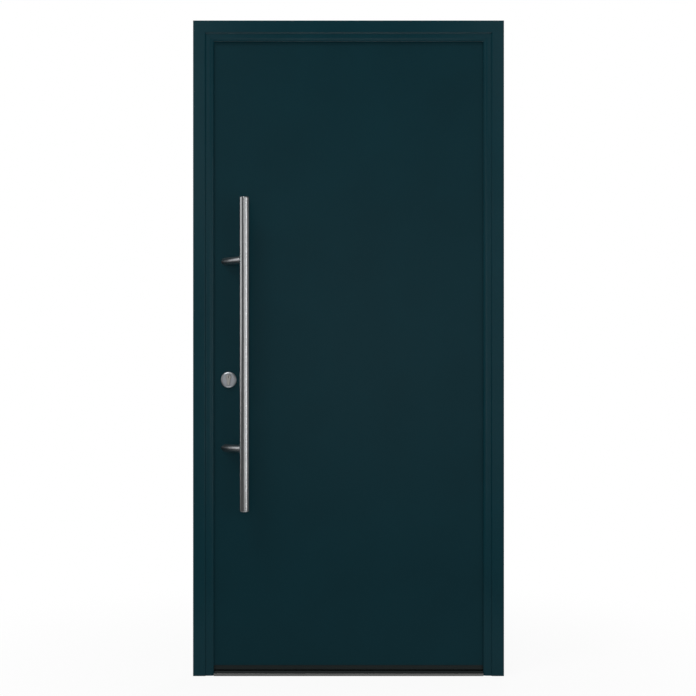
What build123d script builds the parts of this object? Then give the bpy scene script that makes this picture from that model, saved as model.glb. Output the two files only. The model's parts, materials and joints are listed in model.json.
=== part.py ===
from build123d import *
import os
from math import cos, radians, sin, sqrt

# A flush front door in its frame, in millimetres.
# X runs to the right seen from outside, Y into the house, Z up.
# The origin is the middle of the frame's underside, half way through the frame's depth.

# Frame
frame_width = 996.0
frame_height = 2100.0
frame_depth = 80.0
frame_face = 65.6
rebate_face = 40.0
front_band = 38.5
step_run = 2.0
step_depth = 4.0
inner_band = 11.5
nose_drop = 5.0
lip_back = 11.0
profile_wall = 2.2
outer_shell_depth = 28.0
strip_span = 18.0
strip_web = 2.0
strip_foot_width = 6.0
strip_foot_depth = 1.0
strip_inset = 8.0
edge_round = 1.2
cleat_leg = 90.0
cleat_clearance = 0.3
fixing_radius = 5.25
fixing_end = 160.0
fixing_count = 4

# Gasket between the lip and the leaf
gasket_groove_width = 4.0
gasket_groove_depth = 3.0
gasket_groove_inset = 8.0
gasket_bulb_width = 6.5
seal_clearance = 0.3

# Threshold
threshold_height = 13.0
nose_height = 8.0
bridge_slope_run = 5.0
threshold_wall = 2.0
end_clearance = 0.3

# Leaf
front_recess = 15.0
leaf_gap = 8.0
skin = 1.0
skin_return_outer = 20.0
skin_return_inner = 6.0
skin_round = 0.8
rail_width = 40.0
leaf_bottom = 32.0
bottom_strip_height = 14.5
bottom_strip_setback = 1.0
seal_width = 6.0
seal_root = 4.0
pocket_clearance = 0.5

# Lock set
lock_setback = 20.0
backset = 65.0
lever_height = 1049.0
lever_to_cylinder = 92.0
faceplate_width = 24.0
faceplate_thickness = 3.0
faceplate_from_top = 292.0
faceplate_from_bottom = 238.0
case_thickness = 16.0
case_wall = 1.5
case_behind_axis = 28.0
case_above_lever = 50.0
case_below_cylinder = 52.0
bolt_thickness = 12.0
bolt_clearance = 0.4
latch_height = 30.0
latch_above_lever = 15.0
latch_out = 14.0
latch_tail = 32.0
dead_height = 35.0
dead_above_cylinder = 34.0
dead_throw = 20.0
guide_length = 24.0
follower_radius = 11.0
shoulder_radius = 9.0
spindle_side = 8.0
turn_clearance = 0.05
side_clearance = 0.3

# Hooks and their drive rods
hook_from_end = 150.0
hook_pivot = 14.0
hook_plate = 6.0
hook_hub = 8.0
hook_arm = 8.0
hook_claw = 8.5
hook_lean = 16.0
hook_turn = 90.0
hook_sweep = 20.0
hook_bite = 1.3
hook_pin = 4.0
hook_case_below = 16.0
hook_case_above = 44.0
hook_case_depth = 50.0
slot_clearance = 1.0
rod_width = 12.0
rod_thickness = 2.5
rod_travel = 18.0

# Strikes on the frame
strike_width = 24.0
strike_thickness = 3.0
strike_margin = 24.0

# Profile cylinder and rosettes
profile_radius = 8.5
profile_stem = 10.0
profile_drop = 24.5
profile_bridge = 8.2
plug_radius = 6.5
cylinder_proud = 3.0
profile_edge = 0.8
cam_width = 9.4
cam_gap = 0.3
cam_hub = 8.0
cam_nose_radius = 15.5
cam_nose_width = 8.0
keyway_width = 2.2
keyway_height = 8.8
keyway_rise = 1.8
keyway_depth = 25.0
screw_drop = 20.0
cylinder_screw_radius = 2.5
cylinder_screw_head = 4.2
cylinder_screw_reach = 5.0
rosette_radius = 25.2
rosette_height = 9.0
rosette_bevel = 4.0
rosette_bevel_height = 3.0
rosette_drop = 8.0
ring_groove_width = 0.8
ring_groove_depth = 0.6
ring_inset_share = 0.25

# Inside lever
lever_radius = 10.0
lever_neck_radius = 11.0
lever_reach = 52.0
lever_length = 130.0
lever_bend = 18.0
lever_end_round = 3.0
neck_length = 14.0
socket_depth = 22.0
spindle_past_case = 1.0

# Pull handle outside
bar_radius = 16.0
bar_wall = 2.0
bar_length = 995.0
bar_bottom = 532.0
cap_height = 4.0
cap_round = 1.5
cap_spigot = 10.0
cap_clearance = 0.1
standoff_radius = 12.5
standoff_from_end = 198.0
standoff_offset = 63.0
standoff_base_inset = 58.0
stud_radius = 4.0
stud_in_standoff = 12.0
stud_in_leaf = 40.0

# Hinges
hinge_axis_in_gap = 4.0
hinge_axis_proud = 13.0
hinge_height = 150.0
hinge_end = 240.0
knuckle_radius = 11.0
leaf_knuckle = 60.0
hinge_pin_radius = 5.0
plate_thickness = 5.0
plate_width = 30.0
plate_inset = 2.0
plate_round = 3.0
knuckle_gap = 0.4
web_width = 8.0
hinge_cap_height = 4.0
hinge_cap_round = 2.0
hinge_screw_spread = 100.0
plate_screw_share = 2 / 3

# Countersunk screws
screw_radius = 2.4
screw_head = 4.6
screw_head_height = 2.6
screw_length = 16.0
screw_clearance = 0.1

# One overrun for every through cut
overrun = 2.0

# Places worked out from the sizes above
y_front = -frame_depth / 2
y_back = frame_depth / 2
leaf_front = y_front + front_recess
leaf_back = y_back
leaf_inset = rebate_face + leaf_gap
leaf_right = frame_width / 2 - leaf_inset
leaf_left = -leaf_right
leaf_top = frame_height - leaf_inset
inner_shell_start = outer_shell_depth + strip_span
rebate_left = -frame_width / 2 + rebate_face
strip_bottom = leaf_bottom - bottom_strip_height
lock_y = leaf_back - lock_setback
lock_x = leaf_left + backset
cylinder_height = lever_height - lever_to_cylinder
plate_back = leaf_left + faceplate_thickness
strike_face = rebate_left + strike_thickness
case_bottom = cylinder_height - case_below_cylinder
case_top = lever_height + case_above_lever
case_end = lock_x + case_behind_axis
latch_middle = lever_height + latch_above_lever
dead_middle = cylinder_height + dead_above_cylinder
dead_length = faceplate_thickness + guide_length + dead_throw
hook_x = leaf_left + hook_pivot
faceplate_top = leaf_top - faceplate_from_top
faceplate_bottom = leaf_bottom + faceplate_from_bottom
hook_upper = faceplate_top - hook_from_end
hook_lower = faceplate_bottom + hook_from_end
lock_middle = (hook_lower + hook_upper) / 2
hook_reach_in = hook_pivot + leaf_gap + profile_wall + hook_bite
hook_reach_out = hook_reach_in + hook_claw
rosette_level = cylinder_height - rosette_drop
hinge_x = leaf_right + hinge_axis_in_gap
hinge_y = leaf_back + hinge_axis_proud
hinge_levels = {
    "lower": hinge_end,
    "middle": frame_height / 2,
    "upper": frame_height - hinge_end,
}
bar_x = leaf_left + standoff_base_inset + standoff_offset
bar_y = leaf_front - standoff_offset
standoff_levels = {
    "lower": bar_bottom + standoff_from_end,
    "upper": bar_bottom + bar_length - standoff_from_end,
}
out = (-1, 0, 0)


def block(low, high):
    """A box between two opposite corners."""
    size = [b - a for a, b in zip(low, high)]
    return Pos(*low) * Box(*size, align=(Align.MIN, Align.MIN, Align.MIN))


def rod(start, direction, radius, length):
    """A round rod from a point along a direction."""
    base = Cylinder(radius, length, align=(Align.CENTER, Align.CENTER, Align.MIN))
    return Plane(origin=start, z_dir=direction) * base


def whole(shape):
    """The same shape as one compound, for nodes that hold several solids."""
    return Compound(children=list(shape))


def corner(sketch, u, v):
    """The sketch's corner nearest to a point."""
    return sketch.vertices().sort_by_distance((u, v, 0))[0]


def rectangle(low, high):
    """A flat rectangle between two corners."""
    size = [b - a for a, b in zip(low, high)]
    return Pos(*low) * Rectangle(*size, align=(Align.MIN, Align.MIN))


def polygon(points):
    """A flat face with straight sides through the points."""
    return make_face(Polyline(*points, close=True))


def mirrored(shape):
    """The lower hook's copy of a piece of the upper hook, half way between the two."""
    return mirror(shape, Plane.XY.offset(lock_middle))


# Frame members

lock_jamb_plane = Plane(origin=(-frame_width / 2, y_front, 0), x_dir=(1, 0, 0), z_dir=(0, 0, 1))
hinge_jamb_plane = Plane(
    origin=(frame_width / 2, y_front, frame_height), x_dir=(-1, 0, 0), z_dir=(0, 0, -1)
)
head_plane = Plane(
    origin=(-frame_width / 2, y_front, frame_height), x_dir=(0, 0, -1), z_dir=(1, 0, 0)
)


def strip_feet(depth_low, depth_high, clearance):
    """The two foot rectangles of the insulating strips, across the profile."""
    feet = []
    for middle in (strip_inset, rebate_face - strip_inset):
        half = strip_foot_width / 2 + clearance
        feet.append(rectangle((middle - half, depth_low), (middle + half, depth_high)))
    return feet


def outer_section():
    """Outer shell: flat band, small step, inner band rolling over to the lip, one big chamber."""
    nose_start = front_band + step_run + inner_band
    nose_width = frame_face - nose_start
    nose_end = step_depth + nose_drop
    groove_high = frame_face - gasket_groove_inset
    groove_low = groove_high - gasket_groove_width
    groove_floor = lip_back - gasket_groove_depth
    lead = Polyline(
        (0, outer_shell_depth),
        (0, 0),
        (front_band, 0),
        (front_band + step_run, step_depth),
        (nose_start, step_depth),
    )
    roll = EllipticalCenterArc(
        (nose_start, nose_end), nose_width, nose_drop, start_angle=270, arc_size=90
    )
    back = Polyline(
        (frame_face, nose_end),
        (frame_face, lip_back),
        (groove_high, lip_back),
        (groove_high, groove_floor),
        (groove_low, groove_floor),
        (groove_low, lip_back),
        (rebate_face, lip_back),
        (rebate_face, outer_shell_depth),
        (0, outer_shell_depth),
    )
    section = make_face(lead + roll + back)
    section = fillet(corner(section, 0, 0), edge_round)
    section = fillet(corner(section, front_band, 0), edge_round)
    section = fillet(corner(section, front_band + step_run, step_depth), edge_round)
    section -= rectangle(
        (profile_wall, profile_wall),
        (rebate_face - profile_wall, outer_shell_depth - profile_wall),
    )
    section -= rectangle(
        (rebate_face + profile_wall, step_depth + profile_wall),
        (groove_low - profile_wall, lip_back - profile_wall),
    )
    for foot in strip_feet(outer_shell_depth - strip_foot_depth, outer_shell_depth, turn_clearance):
        section -= foot
    return section


def inner_section():
    """Inner shell: one rectangular chamber with rounded room-side edges."""
    section = rectangle((0, inner_shell_start), (rebate_face, frame_depth))
    section = fillet(corner(section, 0, frame_depth), edge_round)
    section = fillet(corner(section, rebate_face, frame_depth), edge_round)
    section -= rectangle(
        (profile_wall, inner_shell_start + profile_wall),
        (rebate_face - profile_wall, frame_depth - profile_wall),
    )
    for foot in strip_feet(inner_shell_start, inner_shell_start + strip_foot_depth, turn_clearance):
        section -= foot
    return section


def strip_sections():
    """Insulating strips: a thin web with a foot in each shell."""
    low = outer_shell_depth - strip_foot_depth
    high = inner_shell_start + strip_foot_depth
    feet = strip_feet(low, outer_shell_depth, 0) + strip_feet(inner_shell_start, high, 0)
    strips = []
    for index, middle in enumerate((strip_inset, rebate_face - strip_inset)):
        web = rectangle((middle - strip_web / 2, low), (middle + strip_web / 2, high))
        strips.append(web + feet[index] + feet[index + 2])
    return strips


def gasket_section():
    """Gasket: a root in the lip's groove and a soft bulb that meets the leaf."""
    high = frame_face - gasket_groove_inset - turn_clearance
    low = high - gasket_groove_width + 2 * turn_clearance
    middle = (low + high) / 2
    floor = lip_back - gasket_groove_depth + turn_clearance
    tip = front_recess - seal_clearance
    half = gasket_bulb_width / 2
    bulb = rectangle((middle - half, lip_back), (middle + half, tip))
    bulb = fillet(corner(bulb, middle - half, tip), edge_round)
    bulb = fillet(corner(bulb, middle + half, tip), edge_round)
    return bulb + rectangle((low, floor), (high, lip_back))


def member(plane, section, length, start_mitre, end_mitre, start=0.0):
    """A section extruded along a member and cut at 45 degrees where it meets its neighbour."""
    bar = Pos(0, 0, start) * extrude(section, length - start)
    face = frame_face + overrun
    low = [face if start_mitre else start, -overrun if start_mitre else start]
    high = [length - face if end_mitre else length, length + overrun if end_mitre else length]
    keep = polygon(
        [(face, 0, low[0]), (face, 0, high[0]), (-overrun, 0, high[1]), (-overrun, 0, low[1])]
    )
    return plane * (bar & extrude(keep, frame_depth, dir=(0, 1, 0)))


def jamb_pair(section, start=0.0):
    """The lock-side and hinge-side jambs of one section, from a height above the floor up."""
    lock = member(lock_jamb_plane, section, frame_height, False, True, start)
    hinge = member(hinge_jamb_plane, section, frame_height - start, True, False)
    return lock, hinge


def head(section):
    """The head member of one section, mitred at both ends."""
    return member(head_plane, section, frame_width, True, True)


def fixing_levels():
    """Heights of the frame fixings, evenly spread."""
    pitch = (frame_height - 2 * fixing_end) / (fixing_count - 1)
    return [fixing_end + pitch * index for index in range(fixing_count)]


def fixing_holes(side):
    """Through holes for the wall fixings across one jamb's inner shell."""
    middle_y = y_front + (inner_shell_start + frame_depth) / 2
    edge = side * (frame_width / 2 + overrun)
    length = rebate_face + 2 * overrun
    return [rod((edge, middle_y, z), (-side, 0, 0), fixing_radius, length) for z in fixing_levels()]


def corner_cleats():
    """Corner blocks that join jamb and head inside their chambers, one per chamber and corner."""
    gap = profile_wall + cleat_clearance
    chambers = ((0, outer_shell_depth), (inner_shell_start, frame_depth))
    cleats = []
    for start, end in chambers:
        low_y = y_front + start + gap
        high_y = y_front + end - gap
        near = -frame_width / 2 + gap
        across = rebate_face - 2 * gap
        top = frame_height - gap
        upright = block((near, low_y, top - cleat_leg), (near + across, high_y, top))
        level = block((near, low_y, top - across), (near + cleat_leg, high_y, top))
        left = upright + level
        cleats += [left, mirror(left, Plane.YZ)]
    return cleats


def threshold_nose():
    """Front nose of the threshold, between the lips of the jambs."""
    half = frame_width / 2 - frame_face - end_clearance
    section = rectangle((0, 0), (lip_back, nose_height))
    section = fillet(corner(section, 0, nose_height), edge_round)
    section -= rectangle((threshold_wall, 0), (lip_back - threshold_wall, nose_height - threshold_wall))
    return threshold_bar(section, half)


def threshold_bridge():
    """Insulating middle of the threshold, rising from the nose to the full height."""
    half = frame_width / 2 - rebate_face - end_clearance
    section = polygon(
        [
            (lip_back, 0),
            (lip_back, nose_height),
            (lip_back + bridge_slope_run, threshold_height),
            (inner_shell_start, threshold_height),
            (inner_shell_start, 0),
        ]
    )
    section -= rectangle(
        (lip_back + bridge_slope_run, threshold_wall),
        (inner_shell_start - threshold_wall, threshold_height - threshold_wall),
    )
    return threshold_bar(section, half)


def threshold_inner():
    """Room-side profile of the threshold."""
    half = frame_width / 2 - rebate_face - end_clearance
    section = rectangle((inner_shell_start, 0), (frame_depth, threshold_height))
    section = fillet(corner(section, frame_depth, threshold_height), edge_round)
    section -= rectangle(
        (inner_shell_start + threshold_wall, threshold_wall),
        (frame_depth - threshold_wall, threshold_height - threshold_wall),
    )
    return threshold_bar(section, half)


def threshold_bar(section, half):
    """A section in depth and height, extruded to both sides of the middle."""
    plane = Plane(origin=(-half, y_front, 0), x_dir=(0, 1, 0), z_dir=(1, 0, 0))
    return plane * extrude(section, 2 * half)


# Screws

def screw(extra=0.0):
    """A countersunk screw, head up at the origin and shank down; extra makes its hole."""
    cone = Cone(
        screw_radius + extra,
        screw_head + extra,
        screw_head_height,
        align=(Align.CENTER, Align.CENTER, Align.MAX),
    )
    shank = Cylinder(
        screw_radius + extra, screw_length + extra, align=(Align.CENTER, Align.CENTER, Align.MAX)
    )
    return cone + shank


def driven(point, direction, extra=0.0):
    """A screw driven in at a point along a direction, or its hole."""
    away = tuple(-value for value in direction)
    return Plane(origin=point, z_dir=away) * screw(extra)


def strike_screw_places():
    """Where the strikes are screwed to the lock jamb, with the driving direction."""
    places = []
    for low, high in (strike_centre_levels(), strike_upper_levels(), strike_lower_levels()):
        for z in (low + strike_margin / 2, high - strike_margin / 2):
            places.append(((strike_face, lock_y, z), out))
    return places


def hinge_screw_places(side):
    """Where one half of each hinge is screwed: side 1 on the frame, side -1 on the leaf."""
    base = frame_width / 2 - rebate_face if side > 0 else leaf_right
    x = base + side * (plate_inset + plate_width * plate_screw_share)
    places = []
    for level in hinge_levels.values():
        for z in (level - hinge_screw_spread / 2, level + hinge_screw_spread / 2):
            places.append(((x, leaf_back + plate_thickness, z), (0, -1, 0)))
    return places


def faceplate_screw_places():
    """Where the faceplate is screwed: both ends into the rail, two into the lock case."""
    levels = [
        faceplate_bottom + faceplate_width / 2,
        case_bottom + case_wall + screw_head,
        case_top - case_wall - screw_head,
        faceplate_top - faceplate_width / 2,
    ]
    return [((leaf_left, lock_y, z), (1, 0, 0)) for z in levels]


def drilled(shape, places):
    """A shape with a screw hole at each place."""
    for point, direction in places:
        shape -= driven(point, direction, screw_clearance)
    return shape


# Hooks, latch, dead bolt and their openings

def opening(x_low, x_high, height, middle, width, clearance):
    """A rectangular opening on the lock's middle line."""
    half_y = width / 2 + clearance
    half_z = height / 2 + clearance
    return block(
        (x_low, lock_y - half_y, middle - half_z), (x_high, lock_y + half_y, middle + half_z)
    )


def hook_slot_levels(near):
    """Lowest and highest point, from the pivot, where the swinging hook crosses a plate."""
    end = radians(hook_turn - hook_lean)
    half = hook_arm / 2
    low = (near - half * cos(end)) / sin(end) * cos(end) - half * sin(end)
    high = sqrt(hook_reach_out**2 - near**2)
    return low - slot_clearance, high + slot_clearance


def hook_slot(x_low, x_high):
    """The slot that the upper hook swings through in a plate between two planes."""
    low, high = hook_slot_levels(hook_x - x_high)
    half = hook_plate / 2 + slot_clearance
    return block(
        (x_low, lock_y - half, hook_upper + low), (x_high, lock_y + half, hook_upper + high)
    )


def strike_centre_levels():
    """Lowest and highest edge of the centre strike."""
    low = dead_middle - dead_height / 2 - strike_margin
    high = latch_middle + latch_height / 2 + strike_margin
    return low, high


def strike_upper_levels():
    """Lowest and highest edge of the upper strike."""
    low, high = hook_slot_levels(hook_x - strike_face)
    return hook_upper + low - strike_margin, hook_upper + high + strike_margin


def strike_lower_levels():
    """The upper strike's edges, mirrored."""
    low, high = strike_upper_levels()
    return 2 * lock_middle - high, 2 * lock_middle - low


def strike_plate(levels, cuts):
    """A flat strike plate on the rebate face with its openings and screw holes."""
    low, high = levels
    half = strike_width / 2
    plate = block((rebate_left, lock_y - half, low), (strike_face, lock_y + half, high))
    plate = fillet(plate.edges().filter_by(Axis.X), edge_round)
    for cut in cuts:
        plate -= cut
    return drilled(plate, strike_screw_places())


def bolt_openings(x_low, x_high):
    """Latch and dead bolt openings through a plate."""
    return [
        opening(x_low, x_high, latch_height, latch_middle, bolt_thickness, slot_clearance),
        opening(x_low, x_high, dead_height, dead_middle, bolt_thickness, slot_clearance),
    ]


def jamb_openings():
    """What the bolts, hooks and screws need cut out of the lock jamb's inner shell."""
    x_low = rebate_left - profile_wall - overrun
    hook_cut = hook_slot(x_low, strike_face)
    return bolt_openings(x_low, strike_face) + [hook_cut, mirrored(hook_cut)]


def latch_bolt():
    """Latch with a bevelled nose that rides over the strike when the door shuts."""
    tip = leaf_left - latch_out
    end = plate_back + latch_tail
    half = bolt_thickness / 2
    outline = polygon(
        [
            (end, lock_y - half, 0),
            (end, lock_y + half, 0),
            (tip, lock_y + half, 0),
            (tip, lock_y + half - strike_thickness, 0),
            (leaf_left - strike_thickness, lock_y - half, 0),
        ]
    )
    return Pos(0, 0, latch_middle - latch_height / 2) * extrude(outline, latch_height)


def dead_bolt():
    """Dead bolt, drawn back flush with the faceplate."""
    half_y = bolt_thickness / 2
    half_z = dead_height / 2
    bolt = block(
        (leaf_left, lock_y - half_y, dead_middle - half_z),
        (leaf_left + dead_length, lock_y + half_y, dead_middle + half_z),
    )
    return chamfer(bolt.faces().sort_by(Axis.X)[0].edges(), edge_round)


def hook():
    """Upper hook: hub, radial arm and a claw on the leading side, folded into the leaf."""
    claw = Circle(hook_reach_out) - Circle(hook_reach_in)
    sweep = radians(hook_sweep)
    reach = 2 * hook_reach_out
    claw &= polygon([(0, 0), (0, reach), (reach * sin(sweep), reach * cos(sweep))])
    arm = rectangle((-hook_arm / 2, 0), (hook_arm / 2, hook_reach_in + hook_claw / 2))
    flat = Circle(hook_hub) + arm + claw - Circle(hook_pin + turn_clearance)
    plane = Plane(
        origin=(hook_x, lock_y - hook_plate / 2, hook_upper), x_dir=out, z_dir=(0, 1, 0)
    )
    return plane * extrude(Rot(0, 0, hook_lean) * flat, hook_plate)


def case_shell(x_end, low, high):
    """A sheet-metal lock case, open towards the faceplate."""
    half = case_thickness / 2
    box = block((plate_back, lock_y - half, low), (x_end, lock_y + half, high))
    inside = block(
        (plate_back, lock_y - half + case_wall, low + case_wall),
        (x_end - case_wall, lock_y + half - case_wall, high - case_wall),
    )
    return box - inside


def hook_case():
    """Upper hook case with the riveted pin that carries the hook."""
    case = case_shell(
        plate_back + hook_case_depth, hook_upper - hook_case_below, hook_upper + hook_case_above
    )
    half = case_thickness / 2
    pin = rod((hook_x, lock_y - half, hook_upper), (0, 1, 0), hook_pin, case_thickness)
    spacer_length = half - case_wall - hook_plate / 2 - side_clearance
    near = lock_y - half + case_wall
    far = lock_y + half - case_wall - spacer_length
    spacer_radius = (hook_pin + hook_hub) / 2
    for start in (near, far):
        pin += rod((hook_x, start, hook_upper), (0, 1, 0), spacer_radius, spacer_length)
    return case + pin


def lock_case():
    """Main lock case with guides for latch and dead bolt and bores for follower and cylinder."""
    case = case_shell(case_end, case_bottom, case_top)
    half = case_thickness / 2
    bolts = ((latch_middle, latch_height), (dead_middle, dead_height))
    for middle, height in bolts:
        for side in (-1, 1):
            near = middle + side * (height / 2 + bolt_clearance)
            low, high = sorted((near, near + side * case_wall))
            case += block(
                (plate_back, lock_y - half + case_wall, low),
                (plate_back + guide_length, lock_y + half - case_wall, high),
            )
    case -= rod(
        (lock_x, lock_y - half - overrun, lever_height),
        (0, 1, 0),
        shoulder_radius + turn_clearance,
        case_thickness + 2 * overrun,
    )
    return case - profile_bar(lock_y - half - overrun, lock_y + half + overrun, bolt_clearance)


def lock_follower():
    """The turning nut of the lever inside the lock case."""
    half = case_thickness / 2
    hub_half = half - case_wall - side_clearance
    hub = rod((lock_x, lock_y - hub_half, lever_height), (0, 1, 0), follower_radius, 2 * hub_half)
    shoulder = rod(
        (lock_x, lock_y - half, lever_height), (0, 1, 0), shoulder_radius, case_thickness
    )
    return hub + shoulder - spindle_bar(lock_y - half, lock_y + half, turn_clearance)


def spindle_bar(y_low, y_high, extra):
    """The square spindle between two depths, or its hole."""
    half = spindle_side / 2 + extra
    return block(
        (lock_x - half, y_low, lever_height - half), (lock_x + half, y_high, lever_height + half)
    )


def lock_faceplate():
    """Long flat strip along the leaf's edge that carries the lock cases."""
    half = faceplate_width / 2
    plate = block(
        (leaf_left, lock_y - half, faceplate_bottom),
        (plate_back, lock_y + half, faceplate_top),
    )
    plate = fillet(plate.edges().filter_by(Axis.X), edge_round)
    slot = hook_slot(leaf_left, plate_back)
    for cut in bolt_cuts() + [slot, mirrored(slot), cylinder_screw(screw_clearance)]:
        plate -= cut
    return drilled(plate, faceplate_screw_places())


def bolt_cuts():
    """Close openings for latch and dead bolt in the faceplate."""
    return [
        opening(leaf_left, plate_back, latch_height, latch_middle, bolt_thickness, bolt_clearance),
        opening(leaf_left, plate_back, dead_height, dead_middle, bolt_thickness, bolt_clearance),
    ]


def drive_rod(low, high):
    """A flat drive rod behind the faceplate, between two heights."""
    half = rod_width / 2
    near = plate_back + side_clearance
    return block((near, lock_y - half, low), (near + rod_thickness, lock_y + half, high))


def drive_rods():
    """Rods from the lock case towards the upper and the lower hook case, with room to travel."""
    room = hook_case_below + rod_travel + 2 * side_clearance
    upper = drive_rod(case_top + side_clearance, hook_upper - room)
    lower = drive_rod(hook_lower + room, case_bottom - side_clearance)
    return upper, lower


def rod_groove():
    """The groove along the lock rail in which both drive rods slide."""
    half = rod_width / 2 + side_clearance
    depth = rod_thickness + 2 * side_clearance
    return block(
        (plate_back, lock_y - half, hook_lower), (plate_back + depth, lock_y + half, hook_upper)
    )


# Profile cylinder

def profile_bar(y_low, y_high, extra=0.0):
    """The lock cylinder's profile, a round head with a stem below, between two depths."""
    stem_half = profile_stem / 2 + extra
    foot = profile_drop - profile_stem / 2
    flat = Circle(profile_radius + extra)
    flat += rectangle((-stem_half, 0), (stem_half, foot))
    flat += Pos(0, foot) * Circle(stem_half)
    plane = Plane(origin=(lock_x, y_low, cylinder_height), x_dir=(1, 0, 0), z_dir=(0, 1, 0))
    return plane * extrude(flat, y_high - y_low)


cylinder_front = leaf_front - rosette_height - cylinder_proud
cylinder_back = leaf_back + rosette_height + cylinder_proud


def cylinder_screw(extra=0.0):
    """Long screw from the faceplate into the cylinder's bridge, or its hole."""
    level = cylinder_height - screw_drop
    start = (leaf_left, lock_y, level)
    length = backset + cylinder_screw_reach
    shank = rod(start, (1, 0, 0), cylinder_screw_radius + extra, length + extra)
    head_height = cylinder_screw_head - cylinder_screw_radius
    cone = Cone(
        cylinder_screw_radius + extra,
        cylinder_screw_head + extra,
        head_height,
        align=(Align.CENTER, Align.CENTER, Align.MAX),
    )
    return shank + Plane(origin=start, z_dir=out) * cone


def cylinder_body():
    """Cylinder body with bevelled ends, bored for its plugs, cut away in the middle for the cam."""
    body = profile_bar(cylinder_front, cylinder_back)
    ends = body.faces().sort_by(Axis.Y)
    body = chamfer(ends[0].edges() + ends[-1].edges(), profile_edge)
    length = cylinder_back - cylinder_front
    bore = rod((lock_x, cylinder_front, cylinder_height), (0, 1, 0), plug_radius + turn_clearance, length)
    half = cam_width / 2 + cam_gap
    bridge_top = cylinder_height - profile_drop + profile_bridge
    cut = block(
        (lock_x - profile_radius - overrun, lock_y - half, bridge_top),
        (
            lock_x + profile_radius + overrun,
            lock_y + half,
            cylinder_height + profile_radius + overrun,
        ),
    )
    return body - bore - cut - cylinder_screw(screw_clearance)


def cylinder_plugs():
    """Outside and inside plugs with their keyways."""
    half = cam_width / 2
    spans = (
        (cylinder_front, lock_y - half, cylinder_front),
        (lock_y + half, cylinder_back, cylinder_back - keyway_depth),
    )
    plugs = []
    for low, high, key_low in spans:
        plug = rod((lock_x, low, cylinder_height), (0, 1, 0), plug_radius, high - low)
        middle = cylinder_height + keyway_rise
        plug -= block(
            (lock_x - keyway_width / 2, key_low, middle - keyway_height / 2),
            (lock_x + keyway_width / 2, key_low + keyway_depth, middle + keyway_height / 2),
        )
        plugs.append(plug)
    return plugs


def cylinder_cam():
    """Cam between the plugs, its nose hanging in the cylinder's cut-out."""
    start = lock_y - cam_width / 2
    hub = rod((lock_x, start, cylinder_height), (0, 1, 0), cam_hub, cam_width)
    half = cam_nose_width / 2
    foot = cam_nose_radius - half
    nose = block(
        (lock_x - half, start, cylinder_height - foot),
        (lock_x + half, start + cam_width, cylinder_height),
    )
    tip = rod((lock_x, start, cylinder_height - foot), (0, 1, 0), half, cam_width)
    return hub + nose + tip


def rosette(face_y, direction, level):
    """A turned rosette with a bevelled rim and a fine ring groove, before its bore is cut."""
    rim = rosette_radius - rosette_bevel
    groove_out = rim - rosette_bevel * ring_inset_share
    groove_in = groove_out - ring_groove_width
    shoulder = rosette_height - rosette_bevel_height
    floor = rosette_height - ring_groove_depth
    half_section = polygon(
        [
            (0, 0),
            (rosette_radius, 0),
            (rosette_radius, shoulder),
            (rim, rosette_height),
            (groove_out, rosette_height),
            (groove_out, floor),
            (groove_in, floor),
            (groove_in, rosette_height),
            (0, rosette_height),
        ]
    )
    turned = revolve(half_section, Axis.Y)
    turn = 0 if direction > 0 else 180
    return Pos(lock_x, face_y, level) * Rot(0, 0, turn) * turned


def cylinder_rosette(face_y, direction):
    """Rosette around the cylinder."""
    low, high = sorted((face_y, face_y + direction * rosette_height))
    hole = profile_bar(low - overrun, high + overrun, bolt_clearance)
    return rosette(face_y, direction, rosette_level) - hole


def lever_rosette():
    """Rosette that the lever's neck turns in."""
    bore = rod(
        (lock_x, leaf_back - overrun, lever_height),
        (0, 1, 0),
        lever_neck_radius + side_clearance,
        rosette_height + 2 * overrun,
    )
    return rosette(leaf_back, 1, lever_height) - bore


# Inside lever

def lever_handle():
    """Lever: a neck out of the rosette and a round bar bent through a right angle."""
    start = leaf_back + side_clearance
    grip_y = leaf_back + lever_reach
    path = FilletPolyline(
        (lock_x, start, lever_height),
        (lock_x, grip_y, lever_height),
        (lock_x + lever_length, grip_y, lever_height),
        radius=lever_bend,
    )
    circle = Plane(origin=(lock_x, start, lever_height), z_dir=(0, 1, 0)) * Circle(lever_radius)
    bar = sweep(circle, path)
    bar = fillet(bar.faces().sort_by(Axis.X)[-1].edges(), lever_end_round)
    neck = rod((lock_x, start, lever_height), (0, 1, 0), lever_neck_radius, neck_length)
    return bar + neck - spindle_bar(start, start + socket_depth, turn_clearance)


def lever_spindle():
    """Square spindle from the lock follower to the lever's socket."""
    low = lock_y - case_thickness / 2 - spindle_past_case
    return spindle_bar(low, leaf_back + socket_depth, 0)


# Leaf

def skin_tray(face_y, direction, depth):
    """A folded sheet-metal tray, its face at one side of the leaf and its returns turned in."""
    low_y, high_y = sorted((face_y, face_y + direction * depth))
    tray = block((leaf_left, low_y, leaf_bottom), (leaf_right, high_y, leaf_top))
    face = tray.faces().sort_by(Axis.Y)[0 if direction > 0 else -1]
    tray = fillet(face.edges(), skin_round)
    in_low, in_high = sorted((face_y + direction * skin, face_y + direction * (depth + overrun)))
    inside = block(
        (leaf_left + skin, in_low, leaf_bottom + skin), (leaf_right - skin, in_high, leaf_top - skin)
    )
    return tray - inside


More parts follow.
